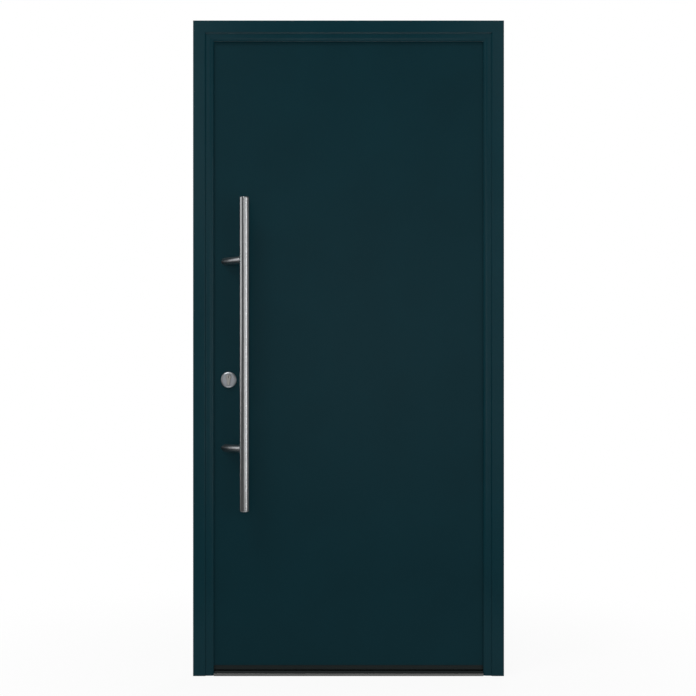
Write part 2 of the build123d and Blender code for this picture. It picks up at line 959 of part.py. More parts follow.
def rail_parts():
    """The four edge rails: a body between the skins and a flush band between the returns."""
    low_y = leaf_front + skin
    high_y = leaf_back - skin
    band_low = leaf_front + skin_return_outer
    band_high = leaf_back - skin_return_inner
    left, right = leaf_left + skin, leaf_right - skin
    low, top = leaf_bottom + skin, leaf_top - skin
    lock = block((left, low_y, low), (left + rail_width, high_y, top))
    lock += block((leaf_left, band_low, low), (left, band_high, top))
    hinge = block((right - rail_width, low_y, low), (right, high_y, top))
    hinge += block((right, band_low, low), (leaf_right, band_high, top))
    inner_left, inner_right = left + rail_width, right - rail_width
    upper = block((inner_left, low_y, top - rail_width), (inner_right, high_y, top))
    upper += block((inner_left, band_low, top), (inner_right, band_high, leaf_top))
    lower = block((inner_left, low_y, low), (inner_right, high_y, low + rail_width))
    lower += block((inner_left, band_low, leaf_bottom), (inner_right, band_high, low))
    return {"lock": lock, "hinge": hinge, "top": upper, "bottom": lower}


def foam_core():
    """Foam slab between skins and rails."""
    side = skin + rail_width
    return block(
        (leaf_left + side, leaf_front + skin, leaf_bottom + side),
        (leaf_right - side, leaf_back - skin, leaf_top - side),
    )


def case_pocket(x_end, low, high):
    """Room for a lock case behind the faceplate."""
    half = case_thickness / 2 + pocket_clearance
    return block(
        (plate_back, lock_y - half, low - pocket_clearance),
        (x_end + pocket_clearance, lock_y + half, high + pocket_clearance),
    )


def faceplate_recess():
    """Recess for the faceplate in the lock rail."""
    half = faceplate_width / 2
    return block(
        (leaf_left, lock_y - half, faceplate_bottom),
        (plate_back, lock_y + half, faceplate_top),
    )


def leaf_cuts():
    """Everything that passes through or sits inside the leaf's filling."""
    hook_pocket = case_pocket(
        plate_back + hook_case_depth, hook_upper - hook_case_below, hook_upper + hook_case_above
    )
    cuts = [
        faceplate_recess(),
        case_pocket(case_end, case_bottom, case_top),
        hook_pocket,
        mirrored(hook_pocket),
        rod_groove(),
        profile_bar(leaf_front - overrun, leaf_back + overrun, pocket_clearance),
        rod((lock_x, lock_y, lever_height), (0, 1, 0), lever_radius, lock_setback + overrun),
    ]
    low = lock_y - case_thickness / 2 - spindle_past_case - pocket_clearance
    cuts.append(rod((lock_x, low, lever_height), (0, 1, 0), lever_radius, lock_setback))
    cuts += [stud(level, screw_clearance) for level in standoff_levels.values()]
    return cuts


def filled(shape):
    """A piece of the leaf with the lock, handle and hinge fixings cut out of it."""
    for cut in leaf_cuts():
        shape -= cut
    return drilled(shape, hinge_screw_places(-1) + faceplate_screw_places())


def bottom_strip():
    """Dark strip under the leaf with a groove for the bottom seal."""
    low_y = leaf_front + bottom_strip_setback
    high_y = leaf_back - bottom_strip_setback
    strip = block(
        (leaf_left + skin, low_y, strip_bottom), (leaf_right - skin, high_y, leaf_bottom)
    )
    return strip - bottom_seal(turn_clearance)


def bottom_seal(extra=0.0):
    """Sealing blade under the leaf that stops just above the threshold, or its groove."""
    middle = (leaf_front + leaf_back) / 2
    half = seal_width / 2 + extra
    return block(
        (leaf_left + skin, middle - half, threshold_height + seal_clearance),
        (leaf_right - skin, middle + half, strip_bottom + seal_root + extra),
    )


# Pull handle

def stud(level, extra=0.0):
    """Fixing stud from a standoff into the leaf, or its hole."""
    base_x = leaf_left + standoff_base_inset
    start = (base_x, leaf_front - stud_in_standoff - extra, level)
    length = stud_in_standoff + stud_in_leaf + 2 * extra
    return rod(start, (0, 1, 0), stud_radius + extra, length)


def standoff(level):
    """A round standoff leaning from the leaf to the bar, coped at both ends."""
    base_x = leaf_left + standoff_base_inset
    reach = standoff_offset * sqrt(2)
    spare = 2 * standoff_radius
    lean = Plane(origin=(base_x, leaf_front, level), z_dir=(1, -1, 0))
    body = lean * Pos(0, 0, -spare) * Cylinder(
        standoff_radius, reach + spare, align=(Align.CENTER, Align.CENTER, Align.MIN)
    )
    behind = block(
        (base_x - 2 * spare, leaf_front, level - spare),
        (base_x + 2 * spare, leaf_front + 2 * spare, level + spare),
    )
    seat = rod((bar_x, bar_y, level - spare), (0, 0, 1), bar_radius, 2 * spare)
    return body - behind - seat - stud(level, turn_clearance)


def pull_bar():
    """Straight round tube of the pull handle."""
    length = bar_length - 2 * cap_height
    start = (bar_x, bar_y, bar_bottom + cap_height)
    up = (0, 0, 1)
    return rod(start, up, bar_radius, length) - rod(start, up, bar_radius - bar_wall, length)


def bar_caps():
    """Rounded end caps of the bar, with spigots inside the tube."""
    low = (bar_x, bar_y, bar_bottom)
    high = (bar_x, bar_y, bar_bottom + bar_length)
    spigot_radius = bar_radius - bar_wall - cap_clearance
    caps = []
    for point, direction in ((low, (0, 0, 1)), (high, (0, 0, -1))):
        disc = rod(point, direction, bar_radius, cap_height)
        end = disc.faces().sort_by(Axis.Z)[0 if direction[2] > 0 else -1]
        disc = fillet(end.edges(), cap_round)
        caps.append(disc + rod(point, direction, spigot_radius, cap_height + cap_spigot))
    return caps


# Hinges

def hinge_part(level, side):
    """One half of a hinge: side 1 is the frame half with two knuckles, side -1 the leaf half."""
    base = frame_width / 2 - rebate_face if side > 0 else leaf_right
    low_x, high_x = sorted((base + side * plate_inset, base + side * (plate_inset + plate_width)))
    low_z, high_z = level - hinge_height / 2, level + hinge_height / 2
    plate = block((low_x, leaf_back, low_z), (high_x, leaf_back + plate_thickness, high_z))
    far = plate.edges().filter_by(Axis.Y).sort_by(Axis.X)
    plate = fillet(far[-2:] if side > 0 else far[:2], plate_round)
    middle = (level - leaf_knuckle / 2, level + leaf_knuckle / 2)
    gap = knuckle_gap / 2
    if side > 0:
        own = [(low_z, middle[0] - gap), (middle[1] + gap, high_z)]
        other = [(middle[0] - gap, middle[1] + gap)]
    else:
        own = [(middle[0] + gap, middle[1] - gap)]
        other = [(low_z - overrun, middle[0] + gap), (middle[1] - gap, high_z + overrun)]
    for low, high in other:
        plate -= rod((hinge_x, hinge_y, low), (0, 0, 1), knuckle_radius + knuckle_gap, high - low)
    for low, high in own:
        web = sorted((hinge_x + side * knuckle_radius, hinge_x + side * (knuckle_radius - web_width)))
        plate += rod((hinge_x, hinge_y, low), (0, 0, 1), knuckle_radius, high - low)
        plate += block((web[0], leaf_back, low), (web[1], hinge_y, high))
    bore = rod(
        (hinge_x, hinge_y, low_z - overrun),
        (0, 0, 1),
        hinge_pin_radius + turn_clearance,
        hinge_height + 2 * overrun,
    )
    return drilled(plate - bore, hinge_screw_places(side))


def hinge_pins():
    """One pin through each hinge."""
    return [
        rod((hinge_x, hinge_y, level - hinge_height / 2), (0, 0, 1), hinge_pin_radius, hinge_height)
        for level in hinge_levels.values()
    ]


def hinge_caps():
    """Rounded caps that close both ends of each hinge."""
    caps = []
    for level in hinge_levels.values():
        for direction in (-1, 1):
            start = level + direction * hinge_height / 2
            cap = rod(
                (hinge_x, hinge_y, start), (0, 0, direction), knuckle_radius, hinge_cap_height
            )
            end = cap.faces().sort_by(Axis.Z)[0 if direction < 0 else -1]
            caps.append(fillet(end.edges(), hinge_cap_round))
    return caps


def frame_nodes():
    """Every fixed piece of the frame."""
    nodes = {}
    outer_lock, outer_hinge = jamb_pair(outer_section())
    inner_lock, inner_hinge = jamb_pair(inner_section())
    for cut in fixing_holes(-1) + jamb_openings():
        inner_lock -= cut
    for cut in fixing_holes(1):
        inner_hinge -= cut
    nodes["jamb_lock_outer"] = outer_lock
    nodes["jamb_lock_inner"] = drilled(inner_lock, strike_screw_places())
    nodes["jamb_hinge_outer"] = outer_hinge
    nodes["jamb_hinge_inner"] = drilled(inner_hinge, hinge_screw_places(1))
    nodes["head_outer"] = head(outer_section())
    nodes["head_inner"] = head(inner_section())
    strips = []
    for section in strip_sections():
        strips += [*jamb_pair(section), head(section)]
    nodes["insulating_strips"] = whole(strips)
    nodes["corner_cleats"] = whole(corner_cleats())
    nodes["threshold_nose"] = threshold_nose()
    nodes["threshold_bridge"] = threshold_bridge()
    nodes["threshold_inner"] = threshold_inner()
    gasket = gasket_section()
    gasket_foot = threshold_height + seal_clearance
    nodes["frame_gasket"] = whole([*jamb_pair(gasket, gasket_foot), head(gasket)])
    slot = hook_slot(rebate_left, strike_face)
    nodes["strike_centre"] = strike_plate(
        strike_centre_levels(), bolt_openings(rebate_left, strike_face)
    )
    nodes["strike_upper"] = strike_plate(strike_upper_levels(), [slot])
    nodes["strike_lower"] = strike_plate(strike_lower_levels(), [mirrored(slot)])
    for name, level in hinge_levels.items():
        nodes[f"hinge_frame_{name}"] = hinge_part(level, 1)
    nodes["hinge_pins"] = whole(hinge_pins())
    nodes["hinge_caps"] = whole(hinge_caps())
    places = strike_screw_places() + hinge_screw_places(1)
    nodes["frame_screws"] = whole([driven(*place) for place in places])
    return nodes


def leaf_nodes():
    """Every piece that swings with the leaf and has no motion of its own."""
    nodes = {}
    nodes["leaf_outer_skin"] = filled(skin_tray(leaf_front, 1, skin_return_outer))
    nodes["leaf_inner_skin"] = filled(skin_tray(leaf_back, -1, skin_return_inner))
    nodes["leaf_core"] = filled(foam_core())
    for name, rail in rail_parts().items():
        nodes[f"leaf_rail_{name}"] = filled(rail)
    nodes["bottom_strip"] = bottom_strip()
    nodes["bottom_seal"] = bottom_seal()
    nodes["lock_faceplate"] = lock_faceplate()
    nodes["lock_case"] = lock_case()
    nodes["hook_case_upper"] = hook_case()
    nodes["hook_case_lower"] = mirrored(hook_case())
    nodes["cylinder_body"] = cylinder_body()
    nodes["cylinder_screw"] = cylinder_screw()
    nodes["rosette_outside"] = cylinder_rosette(leaf_front, -1)
    nodes["rosette_inside"] = cylinder_rosette(leaf_back, 1)
    nodes["lever_rosette"] = lever_rosette()
    nodes["pull_bar"] = pull_bar()
    nodes["pull_bar_caps"] = whole(bar_caps())
    for name, level in standoff_levels.items():
        nodes[f"pull_standoff_{name}"] = standoff(level)
    nodes["pull_studs"] = whole([stud(level) for level in standoff_levels.values()])
    for name, level in hinge_levels.items():
        nodes[f"hinge_leaf_{name}"] = hinge_part(level, -1)
    places = hinge_screw_places(-1) + faceplate_screw_places()
    nodes["leaf_screws"] = whole([driven(*place) for place in places])
    return nodes


def moving_nodes():
    """Every piece that moves on the leaf."""
    upper_rod, lower_rod = drive_rods()
    return {
        "lever_handle": lever_handle(),
        "lever_spindle": lever_spindle(),
        "lock_follower": lock_follower(),
        "latch_bolt": latch_bolt(),
        "dead_bolt": dead_bolt(),
        "cylinder_plugs": whole(cylinder_plugs()),
        "cylinder_cam": cylinder_cam(),
        "hook_upper": hook(),
        "hook_lower": mirrored(hook()),
        "drive_rod_upper": upper_rod,
        "drive_rod_lower": lower_rod,
    }


os.makedirs("parts", exist_ok=True)
for name, shape in {**frame_nodes(), **leaf_nodes(), **moving_nodes()}.items():
    export_step(shape, f"parts/{name}.step")
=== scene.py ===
import json
from math import pi, radians, sqrt, tan

import bmesh
import bpy
import numpy as np
from bpy.props import FloatProperty, FloatVectorProperty, PointerProperty
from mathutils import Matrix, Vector

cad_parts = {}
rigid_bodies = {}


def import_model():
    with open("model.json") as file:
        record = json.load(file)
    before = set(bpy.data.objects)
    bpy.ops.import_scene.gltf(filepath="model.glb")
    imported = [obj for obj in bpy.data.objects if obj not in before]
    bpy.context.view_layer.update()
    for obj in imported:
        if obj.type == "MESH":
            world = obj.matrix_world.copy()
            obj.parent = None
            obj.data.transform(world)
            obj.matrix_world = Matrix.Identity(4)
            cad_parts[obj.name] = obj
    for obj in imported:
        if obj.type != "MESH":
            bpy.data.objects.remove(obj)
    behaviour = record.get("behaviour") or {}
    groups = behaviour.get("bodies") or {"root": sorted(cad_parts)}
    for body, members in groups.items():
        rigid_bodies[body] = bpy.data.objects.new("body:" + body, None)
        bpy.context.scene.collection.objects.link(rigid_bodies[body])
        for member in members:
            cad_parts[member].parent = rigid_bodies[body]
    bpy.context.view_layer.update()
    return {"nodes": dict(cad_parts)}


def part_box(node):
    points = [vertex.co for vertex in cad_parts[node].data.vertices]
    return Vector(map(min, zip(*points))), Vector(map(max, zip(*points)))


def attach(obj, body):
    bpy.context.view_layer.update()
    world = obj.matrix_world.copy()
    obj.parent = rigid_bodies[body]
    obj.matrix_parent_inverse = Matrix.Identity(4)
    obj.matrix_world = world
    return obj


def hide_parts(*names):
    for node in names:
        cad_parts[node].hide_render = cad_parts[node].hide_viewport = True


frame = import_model()

bl_info = {
    "name": "Flush front door",
    "version": (1, 0, 0),
    "blender": (4, 5, 0),
    "location": "View3D > Sidebar > Door",
    "description": "Finishes and fine surfaces of a flush front door in its frame",
    "category": "Object",
}

# Places read from the frame, in metres. X runs right seen from outside, Y into the house, Z up.

bar_low, bar_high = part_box("pull_bar_caps")
bar_axis = (bar_low + bar_high) / 2
bar_radius = (bar_high.x - bar_low.x) / 2
leaf_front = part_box("leaf_outer_skin")[0].y
leaf_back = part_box("leaf_inner_skin")[1].y
stud_low, stud_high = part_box("pull_studs")
stud_x = (stud_low.x + stud_high.x) / 2
plug_low, plug_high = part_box("cylinder_plugs")
lock_axis = (plug_low + plug_high) / 2
rosette_low, rosette_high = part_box("rosette_outside")
rosette_axis = (rosette_low + rosette_high) / 2
rosette_radius = (rosette_high.x - rosette_low.x) / 2
rosette_height = rosette_high.y - rosette_low.y
lever_low, lever_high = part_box("lever_rosette")
lever_axis = (lever_low + lever_high) / 2
grip_low, grip_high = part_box("lever_handle")
shell_low, shell_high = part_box("jamb_lock_outer")
half_width = -shell_low.x
frame_top = shell_high.z
face_width = shell_high.x - shell_low.x
shell_depth = shell_high.y - shell_low.y
hinge_levels = ("lower", "middle", "upper")

# How finely curves are divided, and the angle from which an edge stays sharp
arc_steps = 7
turn_columns = 96
rosette_columns = 192
screw_columns = 48
sharp_angle = radians(28)

# How far past a rounded corner its flat is held flat, as a share of the corner's radius
hold_share = 0.35

# Points nearer than this are one point, and a slope below the least one counts as the least one
same_point = 1e-7
least_slope = 1e-9

# Lobes of a screw's recess, and the angle by which each screw is turned from the one before
recess_lobes = 6
screw_turn = 2.4


def length_of(label, words, value):
    """A length that a user can change, in metres."""
    return FloatProperty(
        name=label, description=words, default=value, min=0.0, precision=4, subtype="DISTANCE", unit="LENGTH"
    )


def colour_of(label, words, value):
    """A colour that a user can change."""
    return FloatVectorProperty(
        name=label, description=words, default=value, size=3, min=0.0, max=1.0, subtype="COLOR"
    )


def glow_of(label, words, value):
    """The brightness of a lamp's face that a user can change."""
    return FloatProperty(name=label, description=words, default=value, min=0.0)


class DoorFinishes(bpy.types.PropertyGroup):
    """Colours of the door's finishes."""

    frame_paint: colour_of("Frame paint", "Petrol coat of the frame", (0.0022, 0.0205, 0.0275))
    leaf_paint: colour_of("Leaf paint", "Petrol coat of the leaf", (0.0014, 0.0178, 0.0240))
    stainless: colour_of("Stainless steel", "Pull handle, lever and hinges", (0.57, 0.58, 0.59))
    satin: colour_of("Satin steel", "Turned rosettes", (0.70, 0.72, 0.75))
    zinc: colour_of("Zinc-plated steel", "Lock, strikes and screws", (0.52, 0.53, 0.55))
    nickel: colour_of("Nickel", "Lock cylinder", (0.68, 0.67, 0.65))
    sill: colour_of("Sill aluminium", "Nose and inner profile of the threshold", (0.22, 0.225, 0.22))
    plastic: colour_of("Dark plastic", "Insulating strips and bottom strip", (0.005, 0.009, 0.009))
    rubber: colour_of("Rubber", "Frame gasket and bottom seal", (0.004, 0.0042, 0.004))
    board: colour_of("Rail board", "Edge rails of the leaf", (0.060, 0.058, 0.054))
    foam: colour_of("Foam", "Filling of the leaf", (0.62, 0.56, 0.38))


class DoorSizes(bpy.types.PropertyGroup):
    """Sizes of the fine surfaces."""

    front_band: length_of("Front band", "Width of the frame's flat outer band", 0.0385)
    step_run: length_of("Step run", "Width of the slope of the frame's step", 0.002)
    step_depth: length_of("Step depth", "Depth of the frame's step", 0.004)
    inner_band: length_of("Inner band", "Width of the frame's flat inner band", 0.0115)
    roll_depth: length_of("Roll depth", "Depth of the frame's rolled inner edge", 0.005)
    lip_back: length_of("Lip depth", "Depth of the lip's back behind the frame's front", 0.011)
    rebate_face: length_of("Rebate face", "Width of the frame behind its lip", 0.040)
    edge_round: length_of("Edge round", "Radius of the frame's outer edge", 0.0012)
    step_round: length_of("Step round", "Radius of both edges of the frame's step", 0.0021)
    mitre_gap: length_of("Mitre gap", "Half the hairline between jamb and head", 0.00008)
    cap_height: length_of("Cap height", "Height of the pull bar's end caps", 0.004)
    cap_round: length_of("Cap round", "Radius of the caps' edge", 0.0015)
    seam_width: length_of("Seam width", "Width of the seam between cap and tube", 0.0006)
    seam_depth: length_of("Seam depth", "Depth of the seam between cap and tube", 0.0005)
    rosette_bevel: length_of("Rosette bevel", "Width of the rosettes' bevelled rim", 0.004)
    bevel_height: length_of("Bevel height", "Height of the rosettes' bevelled rim", 0.003)
    ring_inset: length_of("Ring inset", "From the bevel to the rosettes' ring groove", 0.001)
    ring_width: length_of("Ring width", "Width of the rosettes' ring groove", 0.0008)
    ring_depth: length_of("Ring depth", "Depth of the rosettes' ring groove", 0.0006)
    groove_edge: length_of("Groove edge", "Radius of the edges of the rosettes' ring groove", 0.0001)
    rim_round: length_of("Rim round", "Radius of both edges of the rosettes' bevelled rim", 0.0022)
    hole_edge: length_of("Hole edge", "Radius of the edge of the rosettes' holes", 0.0014)
    profile_head: length_of("Cylinder hole", "Radius of the round head of the cylinder's hole", 0.0089)
    profile_stem: length_of("Stem hole", "Half the width of the stem of the cylinder's hole", 0.0054)
    profile_foot: length_of("Stem drop", "From the cylinder's axis down to the middle of its foot", 0.0195)
    lever_bore: length_of("Lever bore", "Radius of the hole that the lever turns in", 0.0113)
    lever_radius: length_of("Lever radius", "Radius of the lever's bar", 0.010)
    neck_radius: length_of("Neck radius", "Radius of the lever's neck", 0.011)
    neck_length: length_of("Neck length", "Length of the lever's neck", 0.014)
    neck_edge: length_of("Neck edge", "Radius of the neck's edge", 0.0004)
    lever_bend: length_of("Lever bend", "Radius of the lever's bend", 0.018)
    lever_round: length_of("Lever end round", "Radius of the lever's end", 0.003)
    screw_head: length_of("Screw head", "Radius of a countersunk head", 0.0046)
    screw_shank: length_of("Screw shank", "Radius of a screw's shank", 0.0024)
    head_height: length_of("Head height", "Height of a countersunk head", 0.0026)
    screw_length: length_of("Screw length", "Length of a screw", 0.016)
    recess_radius: length_of("Recess radius", "Middle radius of a screw's six-lobed recess", 0.0019)
    recess_lobe: length_of("Recess lobe", "How far the recess's lobes swing in and out", 0.00035)
    recess_depth: length_of("Recess depth", "Depth of a screw's recess", 0.0016)
    plate_screw_inset: length_of("Plate screw inset", "From the end of a lock plate to its screw", 0.012)
    case_screw_inset: length_of("Case screw inset", "From the lock case's end to its screw", 0.0061)
    hinge_plate: length_of("Hinge plate", "Thickness of a hinge's plates", 0.005)
    hinge_screw_inset: length_of("Hinge screw inset", "From a hinge plate's far edge to its screws", 0.010)
    hinge_screw_spread: length_of("Hinge screw spread", "Between a hinge plate's two screws", 0.100)


class DoorStage(bpy.types.PropertyGroup):
    """Camera and light."""

    distance: length_of("Camera distance", "From the frame's front to the camera", 4.0)
    eye_height: length_of("Eye height", "Height of the camera", 0.94)
    picture_height: length_of("Picture height", "Height of the picture at the frame's front", 2.2290)
    picture_middle: length_of("Picture middle", "Height of the picture's middle at the frame's front", 1.0508)
    picture_shift: length_of("Picture side shift", "How far the door stands right of the middle", 0.0017)
    key_glow: glow_of("Key light", "Brightness of the high lamp at the left", 12.0)
    fill_glow: glow_of("Fill light", "Brightness of the large lamp that metal doesn't mirror", 15.0)
    front_glow: glow_of("Front light", "Brightness of the lamps behind the camera", 0.78)
    strip_glow: glow_of("Strip light", "Brightness of the narrow lamp at the right", 3.0)
    side_glow: glow_of("Side light", "Brightness of the lamp at the left edge", 0.8)
    edge_glow: glow_of("Edge light", "Brightness of the lamp at the right edge", 0.45)
    corner_glow: glow_of("Corner lights", "Brightness of the lamps that the upper corners mirror", 1.0)
    low_glow: glow_of("Low light", "Brightness of the lamp on the floor", 9.0)
    rear_glow: glow_of("Rear light", "Brightness of the lamp behind the door", 10.0)
    ambient: glow_of("Ambient light", "Brightness of the room for soft light", 0.55)
    room_glow: glow_of("Room", "Brightness of the room in front of the door in reflections", 0.09)
    floor_glow: glow_of("Floor", "Brightness of the floor near the door in reflections", 0.45)


def finishes():
    """The colours set in the panel."""
    return bpy.context.scene.door_finishes


def sizes():
    """The sizes set in the panel."""
    return bpy.context.scene.door_sizes


# Surfaces

def points_at(x, y, z):
    """Points from three arrays or numbers."""
    return np.stack(np.broadcast_arrays(x, y, z), axis=-1).astype(float)


def ring_surface(name, rings, loop=False):
    """Mesh from closed rings in order, of one shape or of several alike: quads between neighbouring rings,
    and a flat cap on the first and the last ring. With loop the last ring joins the first instead, without
    caps."""
    rings = np.asarray(rings, float)
    rows, columns = rings.shape[-3:-1]
    count = rings.size // (rows * columns * 3)
    index = np.arange(rows * columns).reshape(rows, columns)
    here = index if loop else index[:-1]
    there = np.roll(index, -1, axis=0) if loop else index[1:]
    quads = np.stack([here, np.roll(here, -1, 1), np.roll(there, -1, 1), there], axis=-1).reshape(-1, 4)
    start = (np.arange(count) * rows * columns)[:, None, None]
    faces = (quads + start).reshape(-1, 4).tolist()
    if not loop:
        faces += (index[[0, -1]] + start).reshape(-1, columns).tolist()
    return mesh_object(name, rings.reshape(-1, 3), faces)


def mesh_object(name, points, faces):
    """An object at the origin with outward faces, smooth except at sharp edges."""
    mesh = bpy.data.meshes.new(name)
    mesh.from_pydata(points.tolist(), [], faces)
    build = bmesh.new()
    build.from_mesh(mesh)
    bmesh.ops.recalc_face_normals(build, faces=build.faces)
    build.to_mesh(mesh)
    build.free()
    mesh.polygons.foreach_set("use_smooth", np.ones(len(mesh.polygons), bool))
    mesh.set_sharp_from_angle(angle=sharp_angle)
    thing = bpy.data.objects.new(name, mesh)
    bpy.context.scene.collection.objects.link(thing)
    return thing


def rounded(points, radii):
    """An outline with its corners rounded: each corner P becomes the curve (1-t)^2 A + 2t(1-t) P + t^2 B,
    where A and B lie on its two sides at the corner's radius from P. One more point a little further along
    each side keeps the flats flat in shading."""
    points = np.asarray(points, float)
    radii = np.asarray(radii, float)[:, None]
    before = np.roll(points, 1, axis=0) - points
    after = np.roll(points, -1, axis=0) - points
    before /= np.linalg.norm(before, axis=1, keepdims=True)
    after /= np.linalg.norm(after, axis=1, keepdims=True)
    start = (points + before * radii)[:, None]
    end = (points + after * radii)[:, None]
    share = np.linspace(0, 1, arc_steps)[None, :, None]
    curve = (1 - share) ** 2 * start + 2 * share * (1 - share) * points[:, None] + share**2 * end
    ahead = start + (before * radii * hold_share)[:, None]
    past = end + (after * radii * hold_share)[:, None]
    outline = np.concatenate([ahead, curve, past], axis=1).reshape(-1, 2)
    step = np.linalg.norm(outline - np.roll(outline, 1, axis=0), axis=1)
    return outline[step > same_point]


def turned_rings(profile, columns=turn_columns):
    """A profile of (radius, height) turned about the vertical: x = r cos a, y = r sin a, z = h."""
    angle = np.linspace(0, 2 * pi, columns, endpoint=False)
    radius, height = profile[:, :1], profile[:, 1:]
    return points_at(radius * np.cos(angle), radius * np.sin(angle), height)


def dress(thing, material, body, slot, *nodes):
    """Give a new piece its material and body, and hide the solids that it stands for. The slot is not used.
    """
    thing.data.materials.append(material)
    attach(thing, body)
    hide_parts(*nodes)


def coat(material, *nodes):
    """Put a material on solids of the frame."""
    for name in nodes:
        slots = frame["nodes"][name].data.materials
        slots.clear()
        slots.append(material)


# Materials

# How blasting tints a turned metal, and how much it roughens it
blast_colour = (0.97, 0.98, 1.0, 1.0)
blast_rough = 0.05

# The usual reach of a noise
noise_low, noise_high = 0.3, 0.7

# A mix node's sockets for its two colours and its result
colour_a, colour_b, colour_out = 6, 7, 2


class Nodes:
    """A node tree under construction."""

    def __init__(self, tree):
        self.tree = tree

    def fill(self, socket, value):
        """Link a socket to an output, or set its value."""
        if isinstance(value, bpy.types.NodeSocket):
            self.tree.links.new(value, socket)
        else:
            socket.default_value = value

    def add(self, kind, inputs=None, **settings):
        """A new node with its settings and inputs."""
        made = self.tree.nodes.new(kind)
        for key, value in settings.items():
            setattr(made, key, value)
        for key, value in (inputs or {}).items():
            self.fill(made.inputs[key], value)
        return made

    def ramp(self, value, reach, levels, **settings):
        """A value that runs between two levels while another runs through a reach."""
        inputs = {"Value": value, "From Min": reach[0], "From Max": reach[1]}
        inputs |= {"To Min": levels[0], "To Max": levels[1]}
        return self.add("ShaderNodeMapRange", inputs, **settings).outputs["Result"]


class Finish(Nodes):
    """A material under construction: its nodes and its surface shader."""

    def __init__(self, name, metallic):
        self.material = bpy.data.materials.new(name)
        self.material.use_nodes = True
        super().__init__(self.material.node_tree)
        self.shader = self.tree.nodes["Principled BSDF"]
        self.put("Metallic", metallic)
        self.place = self.add("ShaderNodeTexCoord").outputs["Object"]

    def put(self, name, value):
        """Set or link an input of the surface shader."""
        self.fill(self.shader.inputs[name], value)

    def stretched(self, scale, centre=(0, 0, 0)):
        """Object coordinates moved to a centre and stretched along each axis."""
        moved = self.add("ShaderNodeVectorMath", {0: self.place, 1: centre}, operation="SUBTRACT")
        made = self.add("ShaderNodeVectorMath", {0: moved.outputs[0], 1: scale}, operation="MULTIPLY")
        return made.outputs[0]

    def noise(self, vector, scale, detail):
        """Soft noise about one half."""
        made = self.add("ShaderNodeTexNoise", {"Vector": vector, "Scale": scale, "Detail": detail})
        return made.outputs["Fac"]

    def between(self, value, low, high):
        """The usual reach of a noise spread over a range."""
        return self.ramp(value, (noise_low, noise_high), (low, high))

    def shade(self, value, colour, spread):
        """The colour, darker where the value is low and lighter where it is high, by a spread."""
        dark, light = ((*(c * part for c in colour), 1.0) for part in (1 - spread, 1 + spread))
        inputs = {"Factor": self.between(value, 0.0, 1.0), colour_a: dark, colour_b: light}
        mix = self.add("ShaderNodeMix", inputs, data_type="RGBA")
        self.put("Base Color", mix.outputs[colour_out])

    def gloss(self, value, roughness, spread):
        """Uneven roughness about a middle."""
        self.put("Roughness", self.between(value, roughness - spread, roughness + spread))

    def blast(self, reach, rim):
        """Tint and roughen the finish inside a radius."""
        inside = self.add("ShaderNodeMath", {0: reach, 1: rim}, operation="LESS_THAN").outputs[0]
        colour = self.shader.inputs["Base Color"].links[0].from_socket
        inputs = {"Factor": inside, colour_a: colour, colour_b: blast_colour}
        tint = self.add("ShaderNodeMix", inputs, data_type="RGBA", blend_type="MULTIPLY")
        self.put("Base Color", tint.outputs[colour_out])
        gloss = self.shader.inputs["Roughness"].links[0].from_socket
        inputs = {0: inside, 1: blast_rough, 2: gloss}
        rough = self.add("ShaderNodeMath", inputs, operation="MULTIPLY_ADD")
        self.put("Roughness", rough.outputs[0])

    def relief(self, height, strength, distance):
        """Fine relief from a height."""
        bump = self.add("ShaderNodeBump", {"Height": height, "Strength": strength, "Distance": distance})
        self.put("Normal", bump.outputs["Normal"])


def powder_coat(name, colour, roughness, shine):
    """Satin powder coat: soft clouds of colour, fine orange peel and uneven gloss."""
    finish = Finish(name, metallic=0.0)
    clouds = finish.noise(finish.place, scale=5.0, detail=4.0)
    peel = finish.noise(finish.place, scale=750.0, detail=2.0)
    finish.shade(clouds, colour, spread=0.05)
    finish.gloss(peel, roughness, spread=0.05)
    finish.put("Specular IOR Level", shine)
    finish.relief(peel, strength=0.08, distance=0.0002)
    return finish.material


def metal(finish, lines, colour, roughness):
    """Fine lines of tooling on a metal, in colour, gloss and relief."""
    finish.shade(lines, colour, spread=0.06)
    finish.gloss(lines, roughness, spread=0.03)
    finish.relief(lines, strength=0.01, distance=0.00003)
    return finish.material


def brushed(name, colour, scale, roughness):
    """Brushed metal: noise drawn out into fine lines."""
    finish = Finish(name, metallic=1.0)
    lines = finish.noise(finish.stretched(scale), scale=1.0, detail=3.0)
    return metal(finish, lines, colour, roughness)


def turned(name, colour, centre, roughness, rim=0.0):
    """Turned metal: rings of noise around an axis along the depth. Inside a rim's radius it is blasted, which
    makes it rougher."""
    finish = Finish(name, metallic=1.0)
    flat = finish.stretched((1, 0, 1), centre)
    reach = finish.add("ShaderNodeVectorMath", {0: flat}, operation="LENGTH").outputs["Value"]
    rings = finish.add(
        "ShaderNodeTexNoise", {"W": reach, "Scale": 2600.0, "Detail": 2.0}, noise_dimensions="1D"
    ).outputs["Fac"]
    metal(finish, rings, colour, roughness)
    if rim:
        finish.blast(reach, rim)
    return finish.material


def dull(name, colour, grain, roughness, spread):
    """Plastic, rubber, board or foam: grain in colour, gloss and relief."""
    finish = Finish(name, metallic=0.0)
    specks = finish.noise(finish.place, scale=grain, detail=4.0)
    finish.shade(specks, colour, spread)
    finish.gloss(specks, roughness, spread=0.08)
    finish.put("Specular IOR Level", 0.25)
    finish.relief(specks, strength=0.2, distance=0.0002)
    return finish.material


# Frame

